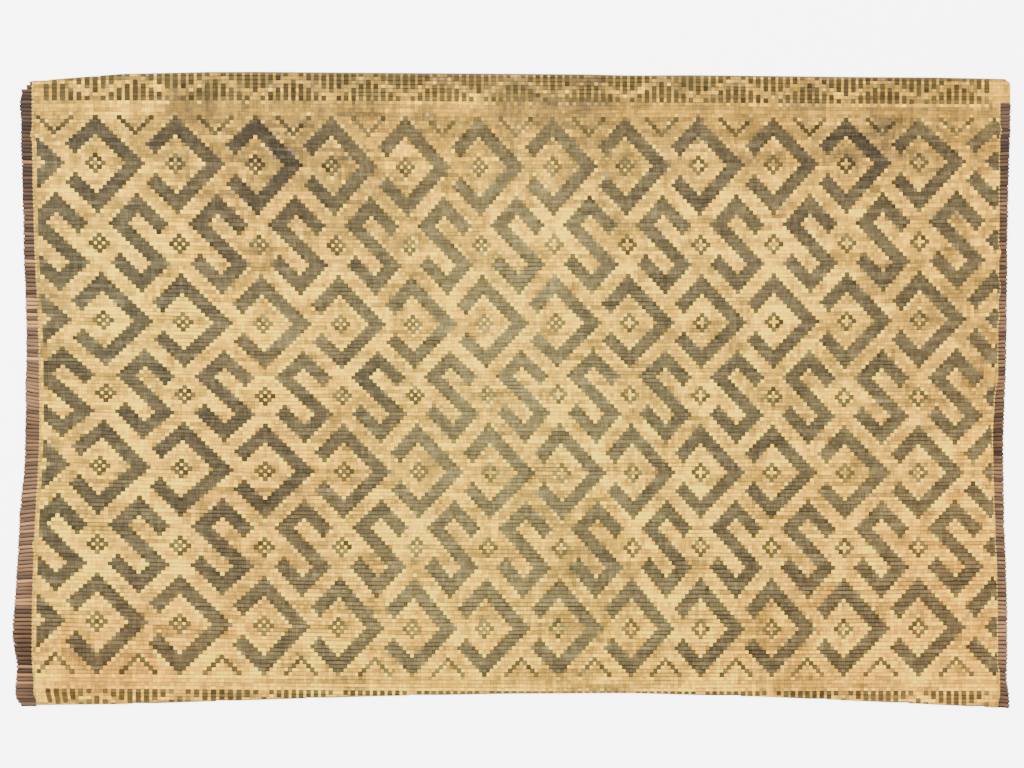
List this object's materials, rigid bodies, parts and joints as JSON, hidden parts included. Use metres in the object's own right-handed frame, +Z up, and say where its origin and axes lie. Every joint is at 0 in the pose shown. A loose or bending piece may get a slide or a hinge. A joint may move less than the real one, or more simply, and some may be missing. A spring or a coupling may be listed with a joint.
{
  "type": "raffia mat",
  "caption": "Flat woven mat of reeds bound side by side with raffia strips, with bare reed ends and a twined selvedge at both short sides.",
  "frame": {"origin": "middle of the underside, on the surface the mat lies on", "axes": "+X along the reeds, +Y across them towards the far edge, +Z up out of the face"},
  "size_m": [1.7982, 1.1466, 0.0051],
  "materials": {
    "woven_raffia": "dry woven palm fibre, straw and faded olive-brown, faint sheen",
    "split_reed": "dry brown reed rind, satin",
    "raffia_twine": "pale twisted palm fibre"
  },
  "bodies": {
    "root": {"woven_field": "woven_raffia", "reed_ends_left": "split_reed", "reed_ends_right": "split_reed", "selvedge_twine_left": "raffia_twine", "selvedge_twine_right": "raffia_twine"}
  },
  "joints": []
}
